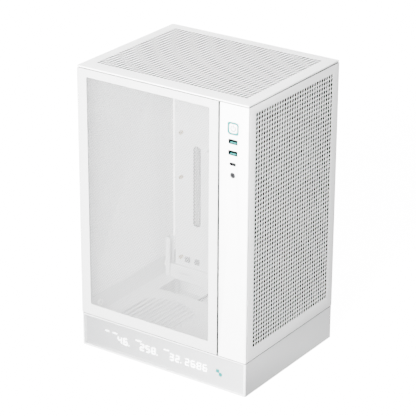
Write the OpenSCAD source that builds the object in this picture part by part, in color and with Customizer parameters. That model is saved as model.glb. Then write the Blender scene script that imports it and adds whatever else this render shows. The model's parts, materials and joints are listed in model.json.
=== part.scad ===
// Compact desktop computer tower: a white sheet-metal case on a moulded base
// band that carries a display. Front is -Y, height is +Z, and the origin is
// the centre of the footprint at the floor. Lengths are in millimetres.

/* [Case] */
// Width across the front
case_w = 290; // [286:2:300]
// Depth from front to back
case_d = 232; // [230:2:244]
// Height from the floor to the top cover
case_h = 440; // [436:2:456]
// Height of the base band
base_h = 54; // [52:1:56]
// Gap between neighbouring outer covers
seam = 0.8; // [0.5:0.1:1.2]

/* [Sheet metal] */
// Thickness of the outer covers
skin_t = 1; // [0.8:0.1:1.4]
// Thickness of the chassis sheet
sheet_t = 1.2; // [0.8:0.1:1.4]
// Depth of the lift-off top cover with its folded rim
cover_t = 2; // [1.6:0.1:2.4]

/* [Front] */
// Width of the control column at the right of the door
column_w = 47.2; // [44:0.2:48]
// Gap between the door and the control column
column_gap = 1.8; // [1.4:0.1:2.2]
// Width of the door's frame at the left of its mesh
door_border = 16.2; // [14:0.2:18]
// Width of the door's frame next to the column
door_border_right = 15; // [14:0.2:18]
// Width of the door's frame above its mesh
door_border_top = 12.2; // [11:0.2:16]
// Height of the door's frame below its mesh
door_sill = 17; // [15:0.5:19]
// Depth of the door with its folded rim
door_depth = 7.2; // [6:0.2:8]

/* [Controls] */
// Distance of the controls from the column's outer edge
control_inset = 25; // [24:0.5:26]
// Side of the square power button
button_w = 13; // [12:0.2:14.4]
// Width of the light ring around the button
ring_w = 2.3; // [1:0.1:2.3]
// Travel of the power button
button_travel = 0.8; // [0.4:0.1:1]
// Drop from the top of the case to the button's centre
button_drop = 37.5; // [36:0.5:40]
// Distance from one port to the next
port_pitch = 16.2; // [16:0.1:17]
// Radius of the audio jack's bore for a 3.5 mm plug
jack_bore_r = 1.8; // [1.8:0.05:1.85]

/* [Display] */
// Height of the display digits
digit_h = 11; // [10:0.5:14]
// Width of one digit
digit_w = 7.4; // [7:0.2:9]
// Stroke of one segment
segment_w = 1.4; // [1.2:0.1:2]

/* [Motherboard] */
// Distance between neighbouring expansion slots
slot_pitch = 20.32; // [20.32]
// Number of expansion slots
slot_count = 4; // [2:1:4]
// Height of the standoffs above the tray
standoff_h = 6.5; // [6:0.1:6.5]
// Radius of the standoffs' threaded holes
standoff_hole_r = 1.5; // [1.4:0.05:1.6]

/* [Fans and power supply] */
// Distance between the screw holes of a 120 mm fan
fan_hole_pitch = 105; // [105]
// Radius of the fan screw holes
fan_hole_r = 2.2; // [2.1:0.05:2.3]
// Radius of the air opening behind a fan
fan_open_r = 56; // [50:1:56]
// Long distance between the screws of a small power supply
psu_pitch_x = 113; // [113]
// Short distance between the screws of a small power supply
psu_pitch_y = 51.5; // [51.5]
// Radius of the power supply screw holes
psu_hole_r = 2; // [1.9:0.05:2.1]

/* [Hidden] */
$fn = 48;
eps = 0.1;

hx = case_w / 2;
hy = case_d / 2;
skin_z0 = base_h + seam / 2;
skin_z1 = case_h - cover_t - seam;
corner_r = 1.8;

// chassis envelope inside the covers
cx = hx - 7;
cf = -hy + 9.2;
cr = hy - 4;
floor_z = base_h - 9;
chassis_z1 = case_h - 6;
side_rail_h = 29;
top_rail_h = 16;
top_rail_w = 20;

// front: door on the left, control column on the right
column_x0 = hx - column_w;
door_x1 = column_x0 - column_gap;
column_t = 3.4;
win_x0 = -hx + door_border;
win_x1 = door_x1 - door_border_right;
win_z0 = skin_z0 + door_sill;
win_z1 = skin_z1 - door_border_top;
mesh_t = 0.6;
mesh_lap = 2.5;
door_back = -hy + door_depth;

// controls, from the top down
ctrl_x = hx - control_inset;
button_z = case_h - button_drop;
usb_z = [button_z - 19.1, button_z - 19.1 - port_pitch];
usb_c_z = usb_z[1] - port_pitch;
jack_z = usb_c_z - port_pitch;
ring_out = button_w + 2 * ring_w + 0.6;
board_y0 = -hy + 14.4;
board_t = 1.6;
board_x = [ctrl_x - 15, ctrl_x + 15];
board_z = [jack_z - 15, button_z + 11];
boss_inset = 4;
column_post_z = [base_h + 26, base_h + 120, base_h + 214];
// USB-A shell: width, height, wall
usb_a = [13.2, 5.7, 0.4];
usb_c = [8.94, 3.3, 0.32];
lip_t = 0.4;
usb_a_lip = [14.8, 7];
usb_c_lip = [10.6, 4.7];
jack_r = 4.1;
control_recess = 0.2;
button_depth = 6.4;
plunger_y = -hy + control_recess + button_depth;
plunger_r = 1.7;
plunger_grip = 0.9;
switch_y = board_y0 - 5;
plunger_room = plunger_grip + button_travel + 0.3;

// base
wall_t = 2.2;
front_wall_t = 3.2;
base_z0 = 1.5;
base_z1 = base_h - seam / 2;
base_floor_z = 4;
lens_t = 1.6;
lens_x = hx - 3;
lens_z = [4.4, base_h - 2.4];
mask_lip = 3;
foot_r = 11;
foot_h = 3.2;
screw_well = 12;
boss_r = 6;
boss_xy = [hx - 13, hy - 14];
foot_xy = [hx - 27, hy - 26];
cable_exit_x = [-70, 50];
cable_exit_z = [12, 40];
vent_n = 5;
vent_pitch = 9;

// display behind the window in the base
display_y = -hy + front_wall_t;
segment_t = 1.1;
// lit bars of each digit: top, two upper, middle, two lower, bottom
SEGMENTS = [
  [1, 1, 1, 0, 1, 1, 1], [0, 0, 1, 0, 0, 1, 0], [1, 0, 1, 1, 1, 0, 1],
  [1, 0, 1, 1, 0, 1, 1], [0, 1, 1, 1, 0, 1, 0], [1, 1, 0, 1, 0, 1, 1],
  [1, 1, 0, 1, 1, 1, 1], [1, 0, 1, 0, 0, 1, 0], [1, 1, 1, 1, 1, 1, 1],
  [1, 1, 1, 1, 0, 1, 1]
];
digit_pitch = digit_w + 2.9;
// each group: x of its first digit's centre, then its digits
READOUTS = [[-78, [4, 6]], [-37.5, [2, 5, 8]], [15.5, [3, 2]], [43, [2, 6, 8, 6]]];
LABELS = [[-101, 7], [-87, 8], [-44, 10], [6, 9]];
digit_z = 25.8;
label_z = 34.4;
lamp_x = 100;
lamp_w = 5.2;
lamp_step = 4.8;
ribbon_y = -hy + 6.2;
ribbon_t = 0.8;
ribbon_w = 12;

// motherboard: its rear edge faces down and its top edge faces left
tray_y = hy - 36;
tray_x = [-hx + 30, cx - 12];
tray_z = [floor_z + 4, chassis_z1 - 16];
foot_top = floor_z + 22;
foot_y = tray_y - 4;
mb_x0 = -hx + 36;
mb_z0 = floor_z + 5;
mb_cols = [6.35, 163.83, 209.55];
mb_rows = [10.16, 165.1, 237.49];
mb_low_left = 33.02;
io_open = [158.75, 44.45];
io_open_x0 = mb_x0 - 2.3;
io_open_y1 = tray_y - standoff_h + 0.6;
slot_x0 = mb_x0 + 175.3;
slot_open = [14.5, 106];
slot_y1 = tray_y - 10;
slot_cover = [18.4, 118, 0.9];
slot_screw_y = slot_y1 - slot_open[1] - 4;
// holes of the tray: centre, size
slot_hole = [[-75, 204], [10, 128]];
psu_cable_hole = [[90, 365], [44, 40]];

// fans and power supply
bottom_fan = [-hx + 85, -hy + 74];
side_fan_z = [floor_z + 85, floor_z + 205];
top_fan_x = 60;
psu_x = hx - 82;
psu_y = tray_y - 38;
psu_z = floor_z + 257;
psu_plate = [139, 76];
psu_window = [100, 48];
psu_flange = 9;
psu_screw = [50, psu_z - 5.2];
psu_screw_x = [psu_x - psu_screw[0], psu_x + psu_screw[0]];
bracket_half = 62;
bracket_screw_z = [floor_z + 25, chassis_z1 - 11];
bracket_screw_y = bracket_half - 8;
bracket_screw_x = cx - 10;
top_plate_z = chassis_z1 - 2 * sheet_t;

// leads from the front controls and from the mains inlet
inlet_x = hx - 45;
inlet_z = base_h / 2;
inlet_depth = 16;
lead_r = 2.6;
lead_x = ctrl_x - 8;
lead_y = -hy + 24;
lead_run_y = 40;
lead_z = 24;
plug_xy = [-60, hy - 20];
plug_z = [110, 124];
ac_lead_r = 3.6;
ac_y = hy - 24;
ac_plug_z = [298, 328];
// holes of the floor for the leads: x, y, radius
lead_hole_front = [lead_x, lead_y, 5];
lead_hole_rear = [plug_xy[0], plug_xy[1], 5];
ac_hole = [inlet_x, ac_y, 7];

// sheet-metal screws
screw_r = 1.6;
screw_clear_r = 1.9;
screw_head = [3.2, 2];
bracket_screw_l = 2.2;
base_screw_r = 1.7;
base_screw_clear_r = 1.8;

// ball studs that hold the door and the covers
stud_r = 2.4;
stud_len = 10.6;
stud_base_r = 3.4;
socket_r = 4.5;
socket_bore_r = 2.7;
socket_len = 5;
door_stud_x = [-hx + 35, door_x1 - 26];
door_stud_z = [base_h + 5.2, chassis_z1 - 5];
side_stud_y = 85;
side_stud_z = [base_h + 7, chassis_z1 - 8];
top_stud = [cx - 6.5, 100.5];
back_stud_x = cx - 6;
back_stud_z = [floor_z + 35, chassis_z1 - 24];

// dust filters behind the perforated covers: y range, then z or x range
filter_t = 0.4;
right_filter = [[-101, 102], [71, 427]];
top_filter = [[-130, 127.5], [-95, 102]];

white = [0.93, 0.93, 0.92];
steel = [0.72, 0.73, 0.75];
black = [0.08, 0.08, 0.09];
cyan = [0.35, 0.85, 0.95];

// half length of the i-th slot of the round vent
function vent_half(i) = 50 * sqrt(1 - pow(i / 7, 2));

module box(x, y, z) {
  translate([x[0], y[0], z[0]]) cube([x[1] - x[0], y[1] - y[0], z[1] - z[0]]);
}

module cylinder_at(p, r, h) {
  translate(p) cylinder(r = r, h = h);
}

// rectangle from a to b with round corners
module round_rect(a, b, r) {
  translate([a[0] + r, a[1]]) square([b[0] - a[0] - 2 * r, b[1] - a[1]]);
  translate([a[0], a[1] + r]) square([b[0] - a[0], b[1] - a[1] - 2 * r]);
  for (x = [a[0] + r, b[0] - r])
    for (y = [a[1] + r, b[1] - r])
      translate([x, y]) circle(r = r);
}

// plate standing in X and Z, from y0 towards the back
module wall_plate(y0, t) {
  translate([0, y0 + t, 0]) rotate([90, 0, 0]) linear_extrude(t) children();
}

// plate standing in Y and Z, from x0 towards the right
module side_plate(x0, t) {
  translate([x0, 0, 0]) rotate([90, 0, 90]) linear_extrude(t) children();
}

// screw with its head at the origin and its shank along -Z
module screw(r, head_r, head_h, length) {
  cylinder(r = head_r, h = head_h);
  translate([0, 0, -length]) cylinder(r = r, h = length + eps);
}

// ball stud along -Z from the origin, with a grip groove
module ball_stud() {
  translate([0, 0, -stud_len + stud_r]) cylinder(r = stud_r * 0.8, h = stud_len - stud_r);
  translate([0, 0, -stud_len + stud_r]) sphere(r = stud_r);
  translate([0, 0, -2]) cylinder(r = stud_base_r, h = 2);
}

module socket() {
  difference() {
    translate([0, 0, -socket_len]) cylinder(r = socket_r, h = socket_len);
    translate([0, 0, -socket_len - eps]) cylinder(r = socket_bore_r, h = socket_len + 2 * eps);
  }
}

// places its children at each socket of the chassis, pointing outwards
module at_sockets() {
  for (x = door_stud_x)
    for (z = door_stud_z)
      translate([x, cf - 0.6, z]) rotate([90, 0, 0]) children();
  for (x = [-back_stud_x, back_stud_x])
    for (z = back_stud_z)
      translate([x, cr + 0.6, z]) rotate([-90, 0, 0]) children();
  for (y = [-side_stud_y, side_stud_y])
    for (z = side_stud_z) {
      translate([cx + 0.6, y, z]) rotate([0, 90, 0]) children();
      translate([-cx - 0.6, y, z]) rotate([0, -90, 0]) children();
    }
  for (x = [-top_stud[0], top_stud[0]])
    for (y = [-top_stud[1], top_stud[1]])
      translate([x, y, chassis_z1 + 0.6]) children();
}

module socket_holes() {
  at_sockets() translate([0, 0, -10]) cylinder(r = socket_r, h = 20);
}

// places its children at each screw of the fan brackets, heads inwards
module at_bracket_screws() {
  for (y = [-bracket_screw_y, bracket_screw_y]) {
    for (z = bracket_screw_z)
      translate([cx - 2 * sheet_t, y, z]) rotate([0, -90, 0]) children();
    for (x = [-bracket_screw_x, bracket_screw_x])
      translate([x, y, top_plate_z]) rotate([180, 0, 0]) children();
  }
}

module fan_holes_2d() {
  for (x = [-1, 1])
    for (y = [-1, 1])
      translate([x, y] * fan_hole_pitch / 2) circle(r = fan_hole_r);
}

module base_outline(inset) {
  round_rect([-hx + inset, -hy + inset], [hx - inset, hy - inset], corner_r);
}

module base_shell() {
  color(white) difference() {
    union() {
      difference() {
        translate([0, 0, base_z0]) linear_extrude(base_z1 - base_z0) base_outline(0);
        box([-hx + wall_t, hx - wall_t], [-hy + front_wall_t, hy - wall_t],
            [base_floor_z, base_h]);
      }
      for (x = [-boss_xy[0], boss_xy[0]])
        for (y = [-boss_xy[1], boss_xy[1]])
          translate([x, y, base_floor_z - eps])
            cylinder(r = boss_r, h = floor_z - sheet_t - base_floor_z + eps);
    }
    box([-lens_x, lens_x], [-hy - 1, -hy + lens_t + 0.2], lens_z);
    box([-lens_x + mask_lip, lens_x - mask_lip], [-hy - 1, -hy + 5],
        [lens_z[0] + mask_lip, lens_z[1] - mask_lip]);
    for (x = [-boss_xy[0], boss_xy[0]])
      for (y = [-boss_xy[1], boss_xy[1]])
        translate([x, y, 0]) {
          cylinder(r = base_screw_clear_r, h = base_h);
          cylinder(r = 3.6, h = screw_well);
        }
    for (x = [-foot_xy[0], foot_xy[0]])
      for (y = [-foot_xy[1], foot_xy[1]])
        cylinder_at([x, y, -1], foot_r, foot_h + 1);
    box(cable_exit_x, [hy - 5, hy + 1], cable_exit_z);
    box([inlet_x - 13.6, inlet_x + 13.6], [hy - 5, hy + 1], [inlet_z - 9.9, inlet_z + 9.9]);
    for (i = [-vent_n:vent_n])
      translate([bottom_fan[0] + i * vent_pitch, bottom_fan[1], 0])
        box([-2.2, 2.2], [-48, 48], [0, base_floor_z + 1]);
  }
}

module base_screws() {
  color(steel)
    for (x = [-boss_xy[0], boss_xy[0]])
      for (y = [-boss_xy[1], boss_xy[1]])
        translate([x, y, screw_well]) rotate([180, 0, 0])
          screw(base_screw_r, screw_head[0], screw_head[1], floor_z + 1 - screw_well);
}

module rubber_feet() {
  color([0.12, 0.12, 0.12])
    for (x = [-foot_xy[0], foot_xy[0]])
      for (y = [-foot_xy[1], foot_xy[1]])
        cylinder_at([x, y, 0], foot_r, foot_h);
}

module display_window() {
  color([0.82, 0.83, 0.84, 0.8]) difference() {
    box([-lens_x + 0.2, lens_x - 0.2], [-hy + 0.2, -hy + lens_t + 0.2],
        [lens_z[0] + 0.2, lens_z[1] - 0.2]);
    wall_plate(-hy - 1, front_wall_t) lamp_shape(lamp_w + 0.2);
  }
}

module display_board() {
  color([0.7, 0.71, 0.72])
    box([-lens_x + mask_lip - 1, lens_x - mask_lip + 1], [display_y, display_y + board_t],
        [lens_z[0] + mask_lip - 1, lens_z[1] - mask_lip + 1]);
}

module bar(cx0, cz0, w, h) {
  wall_plate(display_y - segment_t, segment_t) translate([cx0 - w / 2, cz0 - h / 2]) square([w, h]);
}

module digit(n) {
  half = digit_h / 4;
  across = digit_w - segment_w - 0.6;
  upright = digit_h / 2 - segment_w / 2 - 0.9;
  side = digit_w / 2 - segment_w / 2;
  level = digit_h / 2 - segment_w / 2;
  s = SEGMENTS[n];
  for (i = [0:2])
    if (s[i * 3] == 1) bar(0, level * (1 - i), across, segment_w);
  for (i = [0:1]) {
    if (s[1 + i * 3] == 1) bar(-side, half * (1 - 2 * i) * 0.95, segment_w, upright);
    if (s[2 + i * 3] == 1) bar(side, half * (1 - 2 * i) * 0.95, segment_w, upright);
  }
}

module display_segments() {
  color([0.95, 0.98, 1]) {
    for (g = READOUTS)
      for (i = [0:len(g[1]) - 1])
        translate([g[0] + i * digit_pitch, 0, digit_z]) digit(g[1][i]);
    for (g = [for (i = [0:len(READOUTS) - 2]) READOUTS[i]])
      translate([g[0] + len(g[1]) * digit_pitch - digit_w / 2 - 0.4, 0, digit_z - digit_h / 2 + 0.9])
        bar(0, 0, segment_w, segment_w);
    for (l = LABELS) translate([l[0], 0, label_z]) bar(0, 0, l[1], segment_w);
  }
}

module lamp_shape(w) {
  for (side = [-1, 1])
    translate([lamp_x + side * lamp_step / 2, base_h / 2 - side * lamp_step / 2])
      round_rect([-w / 2, -w / 2], [w / 2, w / 2], 0.2);
}

module status_lamp() {
  color(cyan) wall_plate(-hy + 0.2, display_y + hy - 0.2) lamp_shape(lamp_w);
}

module ribbon_connectors() {
  color(black) {
    box([ctrl_x - 7.5, ctrl_x + 7.5], [display_y + board_t, display_y + board_t + 3.6], [22, 30]);
    box([ctrl_x - 7.5, ctrl_x + 7.5], [ribbon_y - 1, board_y0], [board_z[0] + 1, board_z[0] + 7]);
  }
}

module display_lead() {
  color([0.2, 0.2, 0.22])
    box([ctrl_x - ribbon_w / 2, ctrl_x + ribbon_w / 2], [ribbon_y, ribbon_y + ribbon_t], [30, board_z[0] + 1]);
}

module chassis_floor() {
  color(white) difference() {
    box([-cx, cx], [cf, cr], [floor_z - sheet_t, floor_z]);
    box([io_open_x0, io_open_x0 + io_open[0]], [io_open_y1 - io_open[1], io_open_y1],
        [floor_z - 5, floor_z + 5]);
    for (i = [0:slot_count - 1])
      translate([slot_x0 + i * slot_pitch, 0, floor_z - 5]) {
        box([-slot_open[0] / 2, slot_open[0] / 2], [slot_y1 - slot_open[1], slot_y1], [0, 10]);
        translate([0, slot_screw_y, 0]) cylinder(r = screw_clear_r, h = 10);
      }
    translate([bottom_fan[0], bottom_fan[1], floor_z - 5]) {
      linear_extrude(10) fan_holes_2d();
      for (i = [-vent_n:vent_n])
        translate([i * vent_pitch, 0, 0]) box([-2.4, 2.4], [-vent_half(i), vent_half(i)], [0, 10]);
    }
    for (p = [lead_hole_front, lead_hole_rear, ac_hole])
      translate([p[0], p[1], floor_z - 5]) cylinder(r = p[2], h = 10);
    for (x = [-boss_xy[0], boss_xy[0]])
      for (y = [-boss_xy[1], boss_xy[1]])
        translate([x, y, floor_z - 5]) cylinder(r = base_screw_clear_r, h = 10);
  }
}

module front_frame() {
  color(white) difference() {
    box([-cx, cx], [cf, cf + sheet_t], [floor_z, chassis_z1]);
    box([-cx + 3.5, door_x1 - 18], [cf - 1, cf + 3], [floor_z + 19, chassis_z1 - 12]);
    box([board_x[0] - 1.5, board_x[1] + 1.5], [cf - 1, cf + 3], [board_z[0] - 3, board_z[1] + 3]);
    socket_holes();
  }
}

module rear_frame() {
  color(white) difference() {
    box([-cx, cx], [cr - sheet_t, cr], [floor_z, chassis_z1]);
    box([-cx + 12, cx - 12], [cr - 3, cr + 1], [floor_z + 21, chassis_z1 - 12]);
    socket_holes();
  }
}

module rail(side, z, flange) {
  x = side > 0 ? [cx - sheet_t, cx] : [-cx, -cx + sheet_t];
  xf = side > 0 ? [cx - flange, cx] : [-cx, -cx + flange];
  color(white) difference() {
    union() {
      box(x, [cf + sheet_t, cr - sheet_t], z);
      if (flange > 0) box(xf, [cf + sheet_t, cr - sheet_t], [z[1] - sheet_t, z[1]]);
    }
    socket_holes();
    at_bracket_screws() translate([0, 0, -4]) cylinder(r = screw_r, h = 4);
  }
}

module bottom_left_rail() {
  rail(-1, [floor_z, floor_z + side_rail_h], 0);
}

module bottom_right_rail() {
  rail(1, [floor_z, floor_z + side_rail_h], 0);
}

module top_left_rail() {
  rail(-1, [chassis_z1 - top_rail_h, chassis_z1], top_rail_w);
}

module top_right_rail() {
  rail(1, [chassis_z1 - top_rail_h, chassis_z1], top_rail_w);
}

// places its children at each standoff, with Z along -Y off the tray
module at_standoffs() {
  for (x = mb_cols)
    for (z = mb_rows)
      if (!(x == mb_cols[0] && z == mb_rows[0]))
        translate([mb_x0 + x, tray_y, mb_z0 + z]) rotate([90, 0, 0]) children();
  translate([mb_x0 + mb_cols[0], tray_y, mb_z0 + mb_low_left]) rotate([90, 0, 0]) children();
}

module motherboard_tray() {
  color(white) difference() {
    union() {
      box(tray_x, [tray_y, tray_y + sheet_t], tray_z);
      box([tray_x[1] - sheet_t, tray_x[1]], [tray_y, cr - sheet_t], tray_z);
      box(tray_x, [tray_y, cr - sheet_t], [tray_z[1] - sheet_t, tray_z[1]]);
    }
    wall_plate(tray_y - 5, 12) tray_hole_2d(slot_hole, 0);
    wall_plate(tray_y - 5, 12) tray_hole_2d(psu_cable_hole, 0);
    at_standoffs() translate([0, 0, -5]) cylinder(r = 2, h = 10);
    for (x = psu_screw_x)
      translate([x, tray_y + 5, psu_screw[1]]) rotate([90, 0, 0]) cylinder(r = screw_clear_r, h = 10);
  }
}

module tray_hole_2d(hole, grow) {
  a = [hole[0][0] - hole[1][0] / 2 - grow, hole[0][1] - hole[1][1] / 2 - grow];
  b = [hole[0][0] + hole[1][0] / 2 + grow, hole[0][1] + hole[1][1] / 2 + grow];
  round_rect(a, b, 4 + grow);
}

module tray_foot() {
  color(white) difference() {
    union() {
      box([tray_x[0] - 7, tray_x[1]], [foot_y, foot_y + sheet_t], [floor_z, foot_top]);
      box([tray_x[0] - 7, tray_x[1]], [foot_y, tray_y], [foot_top - sheet_t, foot_top]);
    }
    for (x = [-98, -40, 18])
      translate([x, 0, 0]) box([-9, 9], [foot_y - 1, tray_y], [floor_z + 9, floor_z + 12]);
    at_standoffs() cylinder(r = 3.6, h = standoff_h);
  }
}

module tray_post() {
  color(white) difference() {
    box([-cx + 8, -cx + 16], [tray_y - 6, tray_y + 6], [floor_z, floor_z + 65]);
    box([-cx + 9.2, -cx + 17], [tray_y - 4.8, tray_y + 4.8], [floor_z - 1, floor_z + 66]);
  }
}

module standoffs() {
  color([0.8, 0.65, 0.3]) at_standoffs() difference() {
    union() {
      cylinder(r = 2.9, h = standoff_h, $fn = 6);
      translate([0, 0, -sheet_t]) cylinder(r = 1.95, h = sheet_t + eps);
    }
    translate([0, 0, -sheet_t - eps]) cylinder(r = standoff_hole_r, h = standoff_h + sheet_t + 1);
  }
}

module tray_grommets() {
  color([0.13, 0.13, 0.14])
    for (h = [slot_hole, psu_cable_hole])
      wall_plate(tray_y - 1, 1) difference() {
        tray_hole_2d(h, 1.6);
        tray_hole_2d(h, -1);
      }
}

module slot_covers() {
  color(white)
    for (i = [0:slot_count - 1])
      translate([slot_x0 + i * slot_pitch, slot_y1 + 3 - slot_cover[1], floor_z])
        difference() {
          translate([-slot_cover[0] / 2, 0, 0]) cube(slot_cover);
          translate([0, slot_screw_y - slot_y1 - 3 + slot_cover[1], -1])
            cylinder(r = screw_clear_r, h = 3);
          for (k = [0:6])
            translate([0, 20 + k * 13, 0]) box([-5, 5], [0, 5], [-1, 2]);
        }
}

module slot_cover_screws() {
  color(steel)
    for (i = [0:slot_count - 1])
      translate([slot_x0 + i * slot_pitch, slot_screw_y, floor_z + slot_cover[2]])
        screw(screw_r, screw_head[0], screw_head[1], 5);
}

module psu_bracket() {
  color(white) difference() {
    union() {
      box([psu_x - psu_plate[0] / 2, psu_x + psu_plate[0] / 2], [psu_y - psu_plate[1] / 2, tray_y],
          [psu_z - sheet_t, psu_z]);
      box([psu_x - psu_plate[0] / 2, psu_x + psu_plate[0] / 2 - 8], [tray_y - sheet_t, tray_y],
          [psu_z - psu_flange, psu_z]);
    }
    translate([psu_x, psu_y, psu_z - 5]) {
      box([-psu_window[0] / 2, psu_window[0] / 2], [-psu_window[1] / 2, psu_window[1] / 2], [0, 10]);
      for (x = [-1, 1])
        for (y = [-1, 1])
          translate([x * psu_pitch_x / 2, y * psu_pitch_y / 2, 0]) cylinder(r = psu_hole_r, h = 10);
    }
    for (x = psu_screw_x)
      translate([x, tray_y + 5, psu_screw[1]]) rotate([90, 0, 0])
        cylinder(r = screw_clear_r, h = 10);
  }
}

module side_fan_bracket() {
  color(white) side_plate(cx - 2 * sheet_t, sheet_t) difference() {
    translate([-bracket_half, floor_z + 21])
      square([2 * bracket_half, chassis_z1 - 4 - sheet_t - floor_z - 21]);
    for (z = side_fan_z)
      translate([0, z]) {
        fan_holes_2d();
        circle(r = fan_open_r);
      }
    translate([-50, psu_z + 25]) square([100, 84]);
    for (y = [-bracket_screw_y, bracket_screw_y])
      for (z = bracket_screw_z)
        translate([y, z]) circle(r = screw_clear_r);
  }
}

module top_fan_bracket() {
  color(white) translate([0, 0, top_plate_z]) linear_extrude(sheet_t) difference() {
    translate([-cx + 3, -bracket_half - 4]) square([2 * cx - 6, 2 * bracket_half + 8]);
    for (x = [-top_fan_x, top_fan_x])
      translate([x, 0]) {
        fan_holes_2d();
        circle(r = fan_open_r);
      }
    for (x = [-bracket_screw_x, bracket_screw_x])
      for (y = [-bracket_screw_y, bracket_screw_y])
        translate([x, y]) circle(r = screw_clear_r);
  }
}

module bracket_screws() {
  color(steel) {
    at_bracket_screws() screw(screw_r, screw_head[0], screw_head[1], bracket_screw_l);
    for (x = psu_screw_x)
      translate([x, tray_y - sheet_t, psu_screw[1]]) rotate([90, 0, 0])
        screw(screw_r, screw_head[0], screw_head[1], bracket_screw_l);
  }
}

module stud_sockets() {
  color([0.85, 0.85, 0.84]) at_sockets() socket();
}

// opening in the column, centred on the controls' line
module port_hole(z, w, h, r) {
  translate([ctrl_x, z]) round_rect([-w / 2, -h / 2], [w / 2, h / 2], r);
}

module at_board_screws() {
  for (x = [board_x[0] + boss_inset, board_x[1] - boss_inset])
    for (z = [board_z[0] + boss_inset, board_z[1] - boss_inset])
      translate([x, board_y0, z]) rotate([90, 0, 0]) children();
}

module io_column() {
  color(white) difference() {
    union() {
      intersection() {
        translate([0, 0, skin_z0]) linear_extrude(skin_z1 - skin_z0)
          round_rect([column_x0, -hy], [hx, -hy + 12], corner_r);
        box([column_x0 - 1, hx + 1], [-hy - 1, -hy + column_t], [0, case_h]);
      }
      at_board_screws() cylinder(r = 3, h = board_y0 + hy - column_t + eps);
      for (z = column_post_z)
        translate([column_x0 + 8, cf, z]) rotate([90, 0, 0]) cylinder(r = 3, h = cf + hy - column_t + eps);
    }
    wall_plate(-hy - 1, column_t + 2) {
      port_hole(button_z, ring_out, ring_out, 4.4);
      for (z = usb_z) port_hole(z, usb_a_lip[0] + 0.2, usb_a_lip[1] + 0.2, 0.9);
      port_hole(usb_c_z, usb_c_lip[0] + 0.2, usb_c_lip[1] + 0.2, 2.3);
      translate([ctrl_x, jack_z]) circle(r = jack_r + 0.1);
    }
    at_board_screws() translate([0, 0, -1]) cylinder(r = 1.1, h = 9);
  }
}

module io_board() {
  color([0.1, 0.32, 0.2]) difference() {
    box(board_x, [board_y0, board_y0 + board_t], board_z);
    at_board_screws() translate([0, 0, -4]) cylinder(r = 1.3, h = 8);
  }
}

module io_board_screws() {
  color(steel) at_board_screws() translate([0, 0, -board_t]) rotate([180, 0, 0]) screw(1.05, 2.2, 1.4, 6);
}

module usb_a_shells() {
  color(steel)
    for (z = usb_z)
      difference() {
        union() {
          wall_plate(-hy + 0.5, board_y0 + hy - 0.5) port_hole(z, usb_a[0], usb_a[1], 0.6);
          wall_plate(-hy + 0.5, lip_t) port_hole(z, usb_a_lip[0], usb_a_lip[1], 0.8);
        }
        wall_plate(-hy - 1, board_y0 + hy + 2)
          port_hole(z, usb_a[0] - 2 * usb_a[2], usb_a[1] - 2 * usb_a[2], 0.3);
      }
}

module usb_a_tongues() {
  color([0.1, 0.55, 0.6])
    for (z = usb_z)
      translate([ctrl_x, 0, z])
        box([-4.9, 4.9], [-hy + 0.9, board_y0], [-2.1, -0.3]);
}

module usb_c_shell() {
  color(steel) difference() {
    union() {
      wall_plate(-hy + 0.5, board_y0 + hy - 0.5) port_hole(usb_c_z, usb_c[0], usb_c[1], 1.6);
      wall_plate(-hy + 0.5, lip_t) port_hole(usb_c_z, usb_c_lip[0], usb_c_lip[1], 2.2);
    }
    wall_plate(-hy - 1, board_y0 + hy + 2)
      port_hole(usb_c_z, usb_c[0] - 2 * usb_c[2], usb_c[1] - 2 * usb_c[2], 1.3);
  }
}

module usb_c_tongue() {
  color(black) translate([ctrl_x, 0, usb_c_z])
    box([-3.3, 3.3], [-hy + 1.6, board_y0], [-0.35, 0.35]);
}

module audio_jack() {
  color(black) difference() {
    wall_plate(-hy + 0.4, board_y0 + hy - 0.4) translate([ctrl_x, jack_z]) circle(r = jack_r);
    translate([ctrl_x, board_y0 - 0.4, jack_z]) rotate([90, 0, 0]) cylinder(r = jack_bore_r, h = 20);
  }
}

// square ring that stays in the column while the button moves through it
module button_light_ring() {
  inner = button_w + 0.6;
  color(cyan) wall_plate(-hy + control_recess, column_t) difference() {
    port_hole(button_z, ring_out, ring_out, 4.4);
    port_hole(button_z, inner, inner, 3.4);
  }
}

module power_button() {
  color(white) wall_plate(-hy + control_recess, button_depth)
    port_hole(button_z, button_w, button_w, 3.1);
}

module switch_plunger() {
  color(black) translate([ctrl_x, switch_y + plunger_grip, button_z]) rotate([90, 0, 0])
    cylinder(r = plunger_r, h = switch_y + plunger_grip - plunger_y);
}

module power_switch() {
  color(black) difference() {
    box([ctrl_x - 3, ctrl_x + 3], [switch_y, board_y0], [button_z - 3, button_z + 3]);
    translate([ctrl_x, switch_y + plunger_room, button_z]) rotate([90, 0, 0])
      cylinder(r = plunger_r + 0.3, h = 10);
  }
}

// round lead through a list of points
module lead(points, r) {
  for (i = [0:len(points) - 2]) {
    a = points[i];
    d = points[i + 1] - a;
    run = norm(d);
    translate(a) rotate([0, acos(d[2] / run), atan2(d[1], d[0])]) cylinder(r = r, h = run);
    if (i > 0) translate(a) sphere(r = r);
  }
}

module front_io_lead() {
  color([0.15, 0.15, 0.16]) lead([
    [lead_x, lead_y, board_z[0] + 12], [lead_x, lead_y, lead_z],
    [lead_x, lead_run_y, lead_z], [plug_xy[0], lead_run_y, lead_z],
    [plug_xy[0], plug_xy[1], lead_z], [plug_xy[0], plug_xy[1], plug_z[0]]
  ], lead_r);
  color([0.15, 0.15, 0.16])
    box([lead_x - 5, lead_x + 5], [board_y0 + board_t, lead_y + 3],
        [board_z[0] + 10, board_z[0] + 18]);
}

module header_plugs() {
  color(black)
    box([plug_xy[0] - 8, plug_xy[0] + 8], [plug_xy[1] - 4, plug_xy[1] + 4], plug_z);
}

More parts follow.
